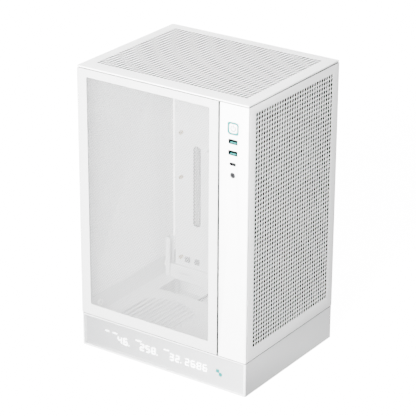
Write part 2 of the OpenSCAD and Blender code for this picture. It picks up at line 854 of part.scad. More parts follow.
module cable_clips() {
  color(black) {
    clip(plug_xy, plug_z[0] - 14, lead_r);
    for (z = [120, 250])
      clip([inlet_x, ac_y], z, ac_lead_r);
    for (x = [-92, -74])
      box([x - 4, x + 4], [tray_y - 3, tray_y], [foot_top + 9, foot_top + 17]);
  }
}

// arm from the tray to a lead, with the lead's bore
module clip(xy, z, r) {
  difference() {
    box([xy[0] - r - 2, xy[0] + r + 2], [tray_y + sheet_t, xy[1] + r + 2], [z - 3, z + 3]);
    translate([xy[0], xy[1], z - 5]) cylinder(r = r, h = 10);
  }
}

module ac_inlet() {
  color(black) difference() {
    union() {
      box([inlet_x - 13.4, inlet_x + 13.4], [hy - inlet_depth - 2, hy - 0.1],
          [inlet_z - 9.7, inlet_z + 9.7]);
      box([inlet_x - 17, inlet_x + 17], [hy - 5, hy - wall_t], [inlet_z - 12.5, inlet_z + 12.5]);
    }
    box([inlet_x - 12, inlet_x + 12], [hy - inlet_depth, hy + 1],
        [inlet_z - 8.2, inlet_z + 8.2]);
  }
}

module ac_inlet_pins() {
  color([0.8, 0.65, 0.3])
    for (p = [[-7, -2], [0, 2], [7, -2]])
      translate([inlet_x + p[0], 0, inlet_z + p[1]])
        box([-1, 1], [hy - inlet_depth, hy - 3], [-2, 2]);
}

module ac_extension_lead() {
  color([0.1, 0.1, 0.1]) lead([
    [inlet_x, hy - inlet_depth - 2, inlet_z], [inlet_x, ac_y, inlet_z],
    [inlet_x, ac_y, ac_plug_z[0]]
  ], ac_lead_r);
}

module psu_plug() {
  color(black) translate([inlet_x, ac_y, ac_plug_z[0]])
    box([-11.5, 11.5], [-7.5, 7.5], [0, ac_plug_z[1] - ac_plug_z[0]]);
}

module door_frame() {
  color(white) difference() {
    wall_plate(-hy, door_depth) round_rect([-hx, skin_z0], [door_x1, skin_z1], 2);
    box([-hx + sheet_t, door_x1 - sheet_t], [-hy + sheet_t, 0],
        [skin_z0 + sheet_t, skin_z1 - sheet_t]);
    wall_plate(-hy - 1, 5) round_rect([win_x0, win_z0], [win_x1, win_z1], 2);
  }
}

module door_mesh() {
  color([0.9, 0.9, 0.9]) difference() {
    box([win_x0 - mesh_lap, win_x1 + mesh_lap], [-hy + sheet_t, -hy + sheet_t + mesh_t],
        [win_z0 - mesh_lap, win_z1 + mesh_lap]);
    for (x = door_stud_x)
      translate([x, -hy + 3, door_stud_z[1]]) rotate([90, 0, 0])
        cylinder(r = stud_base_r + 0.05, h = 3);
  }
}

module door_studs() {
  color(steel)
    for (x = door_stud_x)
      for (z = door_stud_z)
        translate([x, -hy + sheet_t, z]) rotate([90, 0, 0]) ball_stud();
}

// cover for one side, as the right one: a sheet with folded top and bottom rims
module side_cover(y0) {
  difference() {
    box([hx - 6, hx], [y0, hy], [skin_z0, skin_z1]);
    box([hx - 10, hx - skin_t], [y0 - 1, hy + 1], [skin_z0 + skin_t, skin_z1 - skin_t]);
    box([hx - 10, hx - skin_t], [hy - 10, hy + 1], [0, case_h]);
  }
}

module side_studs() {
  for (y = [-side_stud_y, side_stud_y])
    for (z = side_stud_z)
      translate([hx - skin_t, y, z]) rotate([0, 90, 0]) ball_stud();
}

module right_panel() {
  color(white) side_cover(-hy + column_t + seam);
}

module right_panel_studs() {
  color(steel) side_studs();
}

// woven sheet behind the perforated side, notched around the upper studs
module right_dust_filter() {
  color([0.25, 0.26, 0.27]) difference() {
    box([hx - skin_t - filter_t, hx - skin_t], right_filter[0], right_filter[1]);
    for (y = [-side_stud_y, side_stud_y])
      translate([hx - 5, y, side_stud_z[1]]) rotate([0, 90, 0]) cylinder(r = stud_base_r + 0.1, h = 10);
  }
}

module left_panel() {
  color(white) mirror([1, 0, 0]) side_cover(door_back + seam);
}

module left_panel_studs() {
  color(steel) mirror([1, 0, 0]) side_studs();
}

module top_cover() {
  color(white) difference() {
    translate([0, 0, case_h - cover_t]) linear_extrude(cover_t) base_outline(0);
    translate([0, 0, case_h - cover_t - 1]) linear_extrude(cover_t + 1 - skin_t)
      base_outline(sheet_t);
  }
}

module top_dust_filter() {
  color([0.25, 0.26, 0.27]) difference() {
    box(top_filter[0], top_filter[1], [case_h - skin_t - filter_t, case_h - skin_t]);
    translate([-top_stud[0], top_stud[1], case_h - 5]) cylinder(r = stud_base_r + 0.1, h = 10);
  }
}

module top_cover_studs() {
  color(steel)
    for (x = [-top_stud[0], top_stud[0]])
      for (y = [-top_stud[1], top_stud[1]])
        translate([x, y, case_h - skin_t]) ball_stud();
}

module back_panel() {
  color(white)
    box([-hx + skin_t + seam, hx - skin_t - seam], [hy - skin_t, hy], [skin_z0, skin_z1]);
}

module back_panel_studs() {
  color(steel)
    for (x = [-back_stud_x, back_stud_x])
      for (z = back_stud_z)
        translate([x, hy - skin_t, z]) rotate([-90, 0, 0]) ball_stud();
}

base_shell();
base_screws();
rubber_feet();
display_window();
display_board();
display_segments();
status_lamp();
ribbon_connectors();
display_lead();
chassis_floor();
front_frame();
rear_frame();
bottom_left_rail();
bottom_right_rail();
top_left_rail();
top_right_rail();
motherboard_tray();
tray_foot();
tray_post();
standoffs();
tray_grommets();
slot_covers();
slot_cover_screws();
psu_bracket();
side_fan_bracket();
top_fan_bracket();
bracket_screws();
stud_sockets();
io_column();
io_board();
io_board_screws();
usb_a_shells();
usb_a_tongues();
usb_c_shell();
usb_c_tongue();
audio_jack();
button_light_ring();
power_switch();
front_io_lead();
header_plugs();
cable_clips();
ac_inlet();
ac_inlet_pins();
ac_extension_lead();
psu_plug();
power_button();
switch_plunger();
door_frame();
door_mesh();
door_studs();
right_panel();
right_panel_studs();
left_panel();
left_panel_studs();
top_cover();
top_cover_studs();
back_panel();
back_panel_studs();
right_dust_filter();
top_dust_filter();
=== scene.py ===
import json
import math

import bmesh
import bpy
from mathutils import Matrix, Vector


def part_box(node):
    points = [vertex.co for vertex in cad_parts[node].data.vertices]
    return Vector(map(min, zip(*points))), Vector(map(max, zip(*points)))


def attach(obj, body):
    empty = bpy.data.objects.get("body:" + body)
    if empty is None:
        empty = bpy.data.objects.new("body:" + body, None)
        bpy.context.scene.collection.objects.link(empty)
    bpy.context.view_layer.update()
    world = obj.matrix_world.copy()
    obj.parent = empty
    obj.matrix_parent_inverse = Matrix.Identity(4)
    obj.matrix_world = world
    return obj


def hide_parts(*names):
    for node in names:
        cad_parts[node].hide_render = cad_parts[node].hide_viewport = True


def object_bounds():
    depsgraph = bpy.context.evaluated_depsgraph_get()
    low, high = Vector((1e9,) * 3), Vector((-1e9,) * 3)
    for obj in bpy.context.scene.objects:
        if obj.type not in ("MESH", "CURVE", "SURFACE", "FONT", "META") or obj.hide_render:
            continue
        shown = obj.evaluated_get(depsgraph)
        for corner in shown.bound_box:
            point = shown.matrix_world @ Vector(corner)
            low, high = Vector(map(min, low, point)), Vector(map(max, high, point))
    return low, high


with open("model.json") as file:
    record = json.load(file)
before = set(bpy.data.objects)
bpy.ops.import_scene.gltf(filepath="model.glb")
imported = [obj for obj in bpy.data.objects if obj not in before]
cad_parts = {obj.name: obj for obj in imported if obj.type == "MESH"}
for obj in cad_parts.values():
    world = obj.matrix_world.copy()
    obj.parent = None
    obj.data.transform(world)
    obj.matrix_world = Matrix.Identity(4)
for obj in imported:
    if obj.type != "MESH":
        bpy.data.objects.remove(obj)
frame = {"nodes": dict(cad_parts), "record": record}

CAD_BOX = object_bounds()
NODES = frame["nodes"]
MM = 0.001

# ---------------------------------------------------------------- sizes, in metres
SHEET = 0.4 * MM  # thickness of the two perforated covers
SHEET_RADIUS = 0.19 * MM  # rounding of a sheet's outer edge
HOLE_PITCH = 6.4 * MM
HOLE_SIDES = 16
HOLE_FLARE = 0.2 * MM  # how much wider each hole is on the inner side
# each perforated cover: columns and rows of holes, how far they sit off its middle, and sizes
PANEL_GRID = (31, 55)
PANEL_SHIFT = (-1.6 * MM, 3.2 * MM)
PANEL_HOLE_RADIUS = 2.86 * MM
PANEL_CORNER = 0.8 * MM
PANEL_FLANGE_INSET = 0.15 * MM
PANEL_FLANGE_STOP = 10 * MM  # how far before the back edge the flanges end
TOP_GRID = (40, 30)
TOP_SHIFT = (-1.25 * MM, 3.5 * MM)
TOP_HOLE_RADIUS = 2.97 * MM
TOP_CORNER = 1.8 * MM
TOP_RIM = 1.2 * MM  # thickness of the top's folded edge
MESH_PITCH = 3.0 * MM
MESH_RADIUS = MESH_PITCH / math.sqrt(3)  # from a hexagon's middle to its corners
MESH_RISE = 1.5 * MESH_RADIUS  # from one row of hexagons to the next
MESH_OPEN = 0.85  # share of each hexagon that its hole takes, across the flats
MESH_STRIPS = 4
# rounded edges
MERGE_DISTANCE = 0.002 * MM
SMOOTH_ANGLE = math.radians(30.0)  # edges that turn further than this stay sharp
BEVEL_ANGLE = math.radians(40.0)  # edges that turn further than this are rounded
BEVEL_SEGMENTS = 2
# the power sign: a ring with a gap at the top, and a bar through the gap
SIGN_RADIUS = 3.7 * MM
SIGN_LINE = 1.2 * MM
SIGN_HALF_GAP = math.radians(38.0)
SIGN_BAR = (0.4 * MM, 5.0 * MM)  # where the bar starts and ends above the ring's middle
SIGN_PROUD = 0.12 * MM  # how far the print stands out of the button's face
SIGN_DEPTH = 0.3 * MM
SIGN_STEPS = 36
# seams: an axis, then where the ledges inside the seam, which get painted shade, start and end
# along it
BASE_LEDGE = ("Z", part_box("base_shell")[1].z - 0.3 * MM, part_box("right_panel")[0].z)
TOP_LEDGE = ("Z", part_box("door_frame")[1].z - 0.4 * MM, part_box("top_cover")[0].z - 0.05 * MM)
SIDE_LEDGE = ("Z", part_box("right_panel")[1].z - 0.8 * MM, TOP_LEDGE[2])
COLUMN_GAP = ("X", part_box("door_frame")[1].x - 0.2 * MM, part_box("io_column")[0].x + 0.2 * MM)
# how far the edges of each moulded or folded node are rounded
SOFTENED = {
    "door_frame": 0.45 * MM,
    "io_column": 0.45 * MM,
    "base_shell": 0.4 * MM,
    "left_panel": 0.4 * MM,
    "back_panel": 0.4 * MM,
    "power_button": 0.45 * MM,
    "button_light_ring": 0.2 * MM,
    "rubber_feet": 0.6 * MM,
    "psu_plug": 1.2 * MM,
    "header_plugs": 0.6 * MM,
}

# ---------------------------------------------------------------- camera and light
HEIGHT = CAD_BOX[1].z
MIDDLE = Vector((0.0, 0.0, HEIGHT / 2))
CAMERA_TURNS = (34.54, 23.22, 0.30)  # azimuth, elevation and roll, in degrees
CAMERA_DISTANCE = 6.502 * HEIGHT
CAMERA_DROP = 0.007 * HEIGHT
LENS, SENSOR = 170.3, 36.0  # in millimetres
CLIP_END = 30.0
# each light's name and place, the side of its square in metres, and its power in watts
LIGHTS = (
    ("key", (0.24, -1.35, 0.75), 0.7, 262.0),
    ("side", (2.7, 0.9, 1.1), 1.5, 46.0),
    ("back", (-1.9, 2.4, 0.55), 1.8, 250.0),
)
WORLD_STRENGTH = 0.85
WORLD_LOW = (0.35, 0.35, 0.35)  # the world's colour under the horizon
WORLD_HIGH = (1.0, 1.0, 1.0)
FLOOR_SIZE = 9.0
FLOOR_GLOW = 14.0

# ---------------------------------------------------------------- colours
# The studio light is bright, so most colours here are darker than they look in a render. The
# chassis, mesh, base and door whites are shaded copies of the panels' white: painted shade,
# darker for the parts that get less light.
WHITE = (0.93, 0.93, 0.93)
CHASSIS_SHADED_WHITE = (0.52, 0.525, 0.53)
MESH_SHADED_WHITE = (0.34, 0.34, 0.34)
BASE_SHADED_WHITE = (0.72, 0.725, 0.73)
DOOR_SHADED_WHITE = (0.54, 0.54, 0.54)
# painted shade: the colour of the ledges inside seams, where shade falls
PAINTED_SEAM_SHADE = (0.03, 0.03, 0.03)
# painted shade inside a socket
SOCKET_SHADE_BLACK = (0.004, 0.004, 0.0045)
CYAN = (0.001, 0.02, 0.019)
LIT_CYAN = (0.0, 1.0, 0.93)
TEAL = (0.001, 0.115, 0.105)
BUTTON_WHITE = (0.86, 0.87, 0.87)
# painted light: the window's colour at its left and at its right end
WINDOW_PAINTED_DIM = (0.36, 0.365, 0.37)
WINDOW_PAINTED_LIT = (0.72, 0.725, 0.73)
MASK_GREY = (0.20, 0.205, 0.21)
# near black: a dust filter whose colour is also painted shade behind the perforated covers
FILTER_SHADE_BLACK = (0.005, 0.005, 0.0055)
RUBBER_BLACK = (0.03, 0.03, 0.032)
LEAD_BLACK = (0.025, 0.025, 0.028)
PLASTIC_BLACK = (0.009, 0.009, 0.01)
DARK_STEEL = (0.014, 0.014, 0.015)
STEEL = (0.72, 0.73, 0.75)
BRASS = (0.34, 0.26, 0.13)
NYLON = (0.78, 0.78, 0.76)
BOARD_GREEN = (0.012, 0.10, 0.05)
TRACK_GREEN = (0.03, 0.17, 0.08)


# ---------------------------------------------------------------- materials
def add(tree, kind, **values):
    """A shader node with its inputs or its own settings filled in."""
    node = tree.nodes.new(kind)
    for key, value in values.items():
        if key in node.inputs:
            node.inputs[key].default_value = value
        else:
            setattr(node, key, value)
    return node


def start_material(name):
    """An empty material, its tree, its Principled shader and object coordinates."""
    material = bpy.data.materials.new(name)
    material.use_nodes = True
    tree = material.node_tree
    shader = tree.nodes["Principled BSDF"]
    where = add(tree, "ShaderNodeTexCoord").outputs["Object"]
    return material, tree, shader, where


def noise(tree, where, scale, detail=2.0, roughness=0.5):
    """Cloudy noise; a larger scale makes it finer."""
    node = add(tree, "ShaderNodeTexNoise", Scale=scale, Detail=detail, Roughness=roughness)
    tree.links.new(where, node.inputs["Vector"])
    return node.outputs["Fac"]


def spread(tree, value, low, high, source=(0.3, 0.7)):
    """Maps a noise value to the range from low to high."""
    node = add(tree, "ShaderNodeMapRange")
    node.inputs["From Min"].default_value, node.inputs["From Max"].default_value = source
    node.inputs["To Min"].default_value, node.inputs["To Max"].default_value = low, high
    tree.links.new(value, node.inputs["Value"])
    return node.outputs["Result"]


def mixed(tree, factor, color_a, color_b):
    """Mixes two colours; either may be a plain colour or another node's output."""
    node = add(tree, "ShaderNodeMix", data_type="RGBA")
    tree.links.new(factor, node.inputs["Factor"])
    for socket, color in ((node.inputs[6], color_a), (node.inputs[7], color_b)):
        if isinstance(color, tuple):
            socket.default_value = (*color, 1.0)
        else:
            tree.links.new(color, socket)
    return node.outputs[2]


def edge_mask(tree, radius):
    """0 on flat surface and up to 1 along edges, from how far a rounded normal turns."""
    rounded = add(tree, "ShaderNodeBevel", Radius=radius, samples=4)
    flat = add(tree, "ShaderNodeNewGeometry")
    dot = add(tree, "ShaderNodeVectorMath", operation="DOT_PRODUCT")
    tree.links.new(rounded.outputs["Normal"], dot.inputs[0])
    tree.links.new(flat.outputs["Normal"], dot.inputs[1])
    return spread(tree, dot.outputs["Value"], 1.0, 0.0, (0.90, 1.0))


def bumped(tree, shader, heights, radius=0.0):
    """Stacks bumps of (height, strength, depth) onto edges rounded by radius."""
    normal = None
    if radius:
        normal = add(tree, "ShaderNodeBevel", Radius=radius, samples=4).outputs["Normal"]
    for height, strength, depth in heights:
        bump = add(tree, "ShaderNodeBump", Strength=strength, Distance=depth)
        tree.links.new(height, bump.inputs["Height"])
        if normal:
            tree.links.new(normal, bump.inputs["Normal"])
        normal = bump.outputs["Normal"]
    tree.links.new(normal, shader.inputs["Normal"])


def along(tree, where, axis):
    """One coordinate of a position."""
    parts = add(tree, "ShaderNodeSeparateXYZ")
    tree.links.new(where, parts.inputs[0])
    return parts.outputs[axis]


def seams_painted_shade(tree, where, body, seams):
    """Paints shade: darkens a colour on the ledges and flanks inside some seams, where shade
    falls.
    """
    for axis, low, high in seams:
        compare = add(tree, "ShaderNodeMath", operation="COMPARE")
        tree.links.new(along(tree, where, axis), compare.inputs[0])
        compare.inputs[1].default_value = (low + high) / 2
        compare.inputs[2].default_value = (high - low) / 2
        # painted shade on the ledge inside the seam
        body = mixed(tree, compare.outputs[0], body, PAINTED_SEAM_SHADE)
    return body


def powder_coat(name, color, rough=0.46, peel=700.0, radius=0.4 * MM, seams=()):
    """White powder coat: orange peel, a patchy sheen, faint dust, edges painted lighter as wear
    and a painted highlight, painted shade in the seams.
    """
    material, tree, shader, where = start_material(name)
    cloud = noise(tree, where, 9.0, 3.0)
    speck = noise(tree, where, 260.0, 4.0, 0.7)
    dusty = tuple(c * 0.955 for c in color)
    worn_and_highlit = tuple(min(1.0, c * 1.035) for c in color)
    body = mixed(tree, spread(tree, cloud, 0.0, 0.55), color, dusty)
    body = mixed(tree, spread(tree, speck, 0.0, 0.35, (0.55, 0.8)), body, dusty)
    # edges painted lighter: handling wear and a painted highlight
    edges = edge_mask(tree, radius * 2.0)
    body = mixed(tree, edges, body, worn_and_highlit)
    body = seams_painted_shade(tree, where, body, seams)
    tree.links.new(body, shader.inputs["Base Color"])
    gloss = noise(tree, where, 34.0, 4.0)
    sheen = spread(tree, gloss, rough - 0.06, rough + 0.07)
    tree.links.new(sheen, shader.inputs["Roughness"])
    shader.inputs["Specular IOR Level"].default_value = 0.42
    shader.inputs["Coat Weight"].default_value = 0.06
    shader.inputs["Coat Roughness"].default_value = 0.3
    peel_a = noise(tree, where, peel, 2.0, 0.4)
    peel_b = noise(tree, where, peel * 0.28, 1.0)
    bumped(tree, shader, ((peel_a, 0.22, 0.02 * MM), (peel_b, 0.18, 0.05 * MM)), radius)
    return material


def moulded(name, color, rough=0.4, grain=1500.0, gloss_range=0.08, radius=0.35 * MM, seams=()):
    """Injection moulded plastic: fine spark-eroded grain, a soft sheen, painted shade inside a
    seam.
    """
    material, tree, shader, where = start_material(name)
    cloud = noise(tree, where, 16.0, 3.0)
    fine = noise(tree, where, grain, 3.0, 0.6)
    shade = tuple(c * 0.93 for c in color)
    body = mixed(tree, spread(tree, cloud, 0.0, 0.6), color, shade)
    body = seams_painted_shade(tree, where, body, seams)
    tree.links.new(body, shader.inputs["Base Color"])
    sheen = spread(tree, noise(tree, where, 45.0, 4.0), rough - gloss_range, rough + gloss_range)
    tree.links.new(sheen, shader.inputs["Roughness"])
    bumped(tree, shader, ((fine, 0.2, 0.012 * MM),), radius)
    return material


def metal(name, color, rough=0.28, scratch=420.0):
    """Plated or turned metal with fine scratches."""
    material, tree, shader, where = start_material(name)
    stretch = add(tree, "ShaderNodeMapping")
    stretch.inputs["Scale"].default_value = (1.0, 1.0, 12.0)
    tree.links.new(where, stretch.inputs["Vector"])
    lines = noise(tree, stretch.outputs["Vector"], scratch, 5.0, 0.7)
    tone = mixed(tree, spread(tree, noise(tree, where, 60.0), 0.0, 1.0),
                 color, tuple(c * 0.82 for c in color))
    tree.links.new(tone, shader.inputs["Base Color"])
    tree.links.new(spread(tree, lines, rough - 0.08, rough + 0.12), shader.inputs["Roughness"])
    shader.inputs["Metallic"].default_value = 1.0
    bumped(tree, shader, ((lines, 0.12, 0.01 * MM),), 0.15 * MM)
    return material


def rubber(name, color, rough=0.72):
    """Matt rubber or cable jacket with a fine grain and pale dust."""
    material, tree, shader, where = start_material(name)
    grain = noise(tree, where, 900.0, 5.0, 0.7)
    dust = noise(tree, where, 40.0, 4.0)
    body = mixed(tree, spread(tree, dust, 0.0, 0.5), color, tuple(c + 0.05 for c in color))
    tree.links.new(body, shader.inputs["Base Color"])
    tree.links.new(spread(tree, grain, rough - 0.08, rough + 0.1), shader.inputs["Roughness"])
    shader.inputs["Specular IOR Level"].default_value = 0.3
    bumped(tree, shader, ((grain, 0.3, 0.02 * MM),), 0.2 * MM)
    return material


def glowing(name, color, light, strength):
    """A lit light guide: its light is a little uneven, and so is its gloss."""
    material, tree, shader, where = start_material(name)
    patch = noise(tree, where, 130.0, 2.0)
    glow = mixed(tree, spread(tree, patch, 0.0, 1.0), light, tuple(c * 0.9 for c in light))
    shader.inputs["Base Color"].default_value = (*color, 1.0)
    tree.links.new(glow, shader.inputs["Emission Color"])
    shader.inputs["Emission Strength"].default_value = strength
    shader.inputs["Specular IOR Level"].default_value = 0.2
    tree.links.new(spread(tree, patch, 0.28, 0.4), shader.inputs["Roughness"])
    return material


def port_insert(name):
    """A socket's tongue: teal at its end; its other faces, deep inside the socket, get painted
    shade in near black.
    """
    material, tree, shader, where = start_material(name)
    turned = add(tree, "ShaderNodeTexCoord").outputs["Normal"]
    end = spread(tree, along(tree, turned, "Y"), 1.0, 0.0, (-0.9, -0.6))
    grain = noise(tree, where, 900.0, 3.0)
    teal = mixed(tree, spread(tree, grain, 0.0, 0.5), TEAL, tuple(c * 1.3 for c in TEAL))
    # painted shade: every face but the end is near black, as the shade inside the socket
    tree.links.new(mixed(tree, end, SOCKET_SHADE_BLACK, teal), shader.inputs["Base Color"])
    tree.links.new(spread(tree, grain, 0.4, 0.55), shader.inputs["Roughness"])
    shader.inputs["Specular IOR Level"].default_value = 0.2
    return material


def milky_acrylic(name):
    """The display's window: polished and slightly see-through, with painted light: its colour
    gets lighter towards its right end.
    """
    material, tree, shader, where = start_material(name)
    end = CAD_BOX[1].x
    # painted light: the colour brightens from left to right along X
    right = spread(tree, along(tree, where, "X"), 0.0, 1.0, (-end, end))
    body = mixed(tree, right, WINDOW_PAINTED_DIM, WINDOW_PAINTED_LIT)
    tree.links.new(body, shader.inputs["Base Color"])
    swirls = noise(tree, where, 300.0, 6.0, 0.75)
    tree.links.new(spread(tree, swirls, 0.05, 0.12), shader.inputs["Roughness"])
    shader.inputs["Coat Weight"].default_value = 0.5
    shader.inputs["Coat Roughness"].default_value = 0.03
    shader.inputs["Alpha"].default_value = 0.42
    wave = noise(tree, where, 14.0, 1.0)
    bumped(tree, shader, ((wave, 0.08, 0.05 * MM),), 0.3 * MM)
    return material


def woven(name, color):
    """Fine woven nylon: crossing threads, painted lighter towards the top as light from above,
    with a little dust. Its near-black colour is also painted shade behind the holes.
    """
    material, tree, shader, where = start_material(name)
    sets = []
    for axis in ("X", "Y", "Z"):
        threads = add(tree, "ShaderNodeTexWave", bands_direction=axis, Scale=520.0)
        tree.links.new(where, threads.inputs["Vector"])
        sets.append(threads.outputs["Fac"])
    weave = sets[0]
    for other in sets[1:]:
        larger = add(tree, "ShaderNodeMath", operation="MAXIMUM")
        tree.links.new(weave, larger.inputs[0])
        tree.links.new(other, larger.inputs[1])
        weave = larger.outputs[0]
    # painted light: the cloth is painted up to 3.5 times lighter towards the top
    height = spread(tree, along(tree, where, "Z"), 0.0, 1.0, (0.3 * HEIGHT, HEIGHT))
    body = mixed(tree, height, color, tuple(c * 3.5 for c in color))
    dust = spread(tree, noise(tree, where, 22.0, 4.0), 0.0, 0.5)
    tree.links.new(mixed(tree, dust, body, tuple(c * 2.0 for c in color)),
                   shader.inputs["Base Color"])
    tree.links.new(spread(tree, weave, 0.85, 0.6, (0.0, 1.0)), shader.inputs["Roughness"])
    shader.inputs["Specular IOR Level"].default_value = 0.1
    bumped(tree, shader, ((weave, 0.5, 0.06 * MM),))
    return material


def circuit_board(name):
    """Green solder mask over copper tracks."""
    material, tree, shader, where = start_material(name)
    tracks = add(tree, "ShaderNodeTexBrick", Scale=260.0)
    tracks.inputs["Mortar Size"].default_value = 0.03
    tree.links.new(where, tracks.inputs["Vector"])
    body = mixed(tree, tracks.outputs["Fac"], BOARD_GREEN, TRACK_GREEN)
    tree.links.new(body, shader.inputs["Base Color"])
    tree.links.new(spread(tree, noise(tree, where, 80.0), 0.22, 0.34), shader.inputs["Roughness"])
    bumped(tree, shader, ((tracks.outputs["Fac"], 0.4, 0.03 * MM),))
    return material


def make_materials():
    """One material for each slot of the record."""
    return {
        "panel_white": powder_coat("panel_white", WHITE, seams=[SIDE_LEDGE]),
        "door_white": powder_coat("door_white", DOOR_SHADED_WHITE, seams=[TOP_LEDGE, COLUMN_GAP]),
        "chassis_white": powder_coat("chassis_white", CHASSIS_SHADED_WHITE, 0.5, 820.0),
        "mesh_white": powder_coat("mesh_white", MESH_SHADED_WHITE, 0.5, 900.0, 0.1 * MM),
        "moulded_white": moulded("moulded_white", WHITE, seams=[TOP_LEDGE, COLUMN_GAP]),
        "base_white": moulded("base_white", BASE_SHADED_WHITE, 0.36, seams=[BASE_LEDGE]),
        "filter_cloth": woven("filter_cloth", FILTER_SHADE_BLACK),
        "button_white": moulded("button_white", BUTTON_WHITE, 0.3),
        "display_glass": milky_acrylic("display_glass"),
        "display_mask": moulded("display_mask", MASK_GREY, 0.5),
        "lit_white": glowing("lit_white", (0.8, 0.8, 0.8), (1.0, 1.0, 1.0), 22.0),
        "lit_cyan": glowing("lit_cyan", CYAN, LIT_CYAN, 1.15),
        "foot_rubber": rubber("foot_rubber", RUBBER_BLACK),
        "lead_black": rubber("lead_black", LEAD_BLACK, 0.5),
        "black_plastic": moulded("black_plastic", PLASTIC_BLACK, 0.5),
        "port_blue": port_insert("port_blue"),
        "port_steel": metal("port_steel", DARK_STEEL, 0.5),
        "bright_steel": metal("bright_steel", STEEL),
        "circuit_board": circuit_board("circuit_board"),
        "plated_brass": metal("plated_brass", BRASS, 0.35),
        "socket_nylon": moulded("socket_nylon", NYLON, 0.48),
    }


# ---------------------------------------------------------------- pieces
def slot_of(node):
    """The record's material slot of a CAD node."""
    for entry in frame["record"]["subparts"]:
        if entry["node"] == node:
            return entry["material_slot"]
    raise KeyError(node)


def body_of(node):
    """The body that a CAD node is in."""
    for body, nodes in frame["record"]["behaviour"]["bodies"].items():
        if node in nodes:
            return body
    raise KeyError(node)


def piece(name, mesh, materials, node, replaces=True, slot=None):
    """A new object that rides with a CAD node, and stands for it where replaces is true."""
    slot = slot or slot_of(node)
    obj = bpy.data.objects.new(name, mesh)
    bpy.context.scene.collection.objects.link(obj)
    mesh.materials.clear()
    mesh.materials.append(materials[slot])
    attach(obj, body_of(node))
    if replaces:
        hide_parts(node)
    return obj


def smooth_by_angle(mesh):
    """Smooth shading that keeps the sharper edges."""
    mesh.shade_smooth()
    mesh.set_sharp_from_angle(angle=SMOOTH_ANGLE)


def mesh_from(name, verts, faces):
    """A mesh of these vertices and faces, shaded smooth."""
    mesh = bpy.data.meshes.new(name)
    mesh.from_pydata([tuple(v) for v in verts], [], faces)
    mesh.validate()
    smooth_by_angle(mesh)
    return mesh


def softened(node, materials, width):
    """The CAD node with its sharp edges rounded, standing in for it."""
    bm = bmesh.new()
    bm.from_mesh(NODES[node].data)
    bmesh.ops.remove_doubles(bm, verts=bm.verts, dist=MERGE_DISTANCE)
    mesh = bpy.data.meshes.new(node + "_soft")
    bm.to_mesh(mesh)
    bm.free()
    smooth_by_angle(mesh)
    obj = piece(node + "_soft", mesh, materials, node)
    bevel = obj.modifiers.new("edges", "BEVEL")
    bevel.width, bevel.segments = width, BEVEL_SEGMENTS
    bevel.limit_method, bevel.angle_limit = "ANGLE", BEVEL_ANGLE
    bevel.harden_normals = True


# ---------------------------------------------------------------- perforated sheets
def outline(low, high, radius, steps=4):
    """Four corners of a rounded rectangle, each a list of points, anticlockwise."""
    corners = []
    for index, (sx, sy) in enumerate(((-1, -1), (1, -1), (1, 1), (-1, 1))):
        cx = (high[0] - radius) if sx > 0 else (low[0] + radius)
        cy = (high[1] - radius) if sy > 0 else (low[1] + radius)
        first = math.pi + index * math.pi / 2
        turns = [first + k * math.pi / 2 / steps for k in range(steps + 1)]
        corners.append([(cx + radius * math.cos(t), cy + radius * math.sin(t)) for t in turns])
    return corners


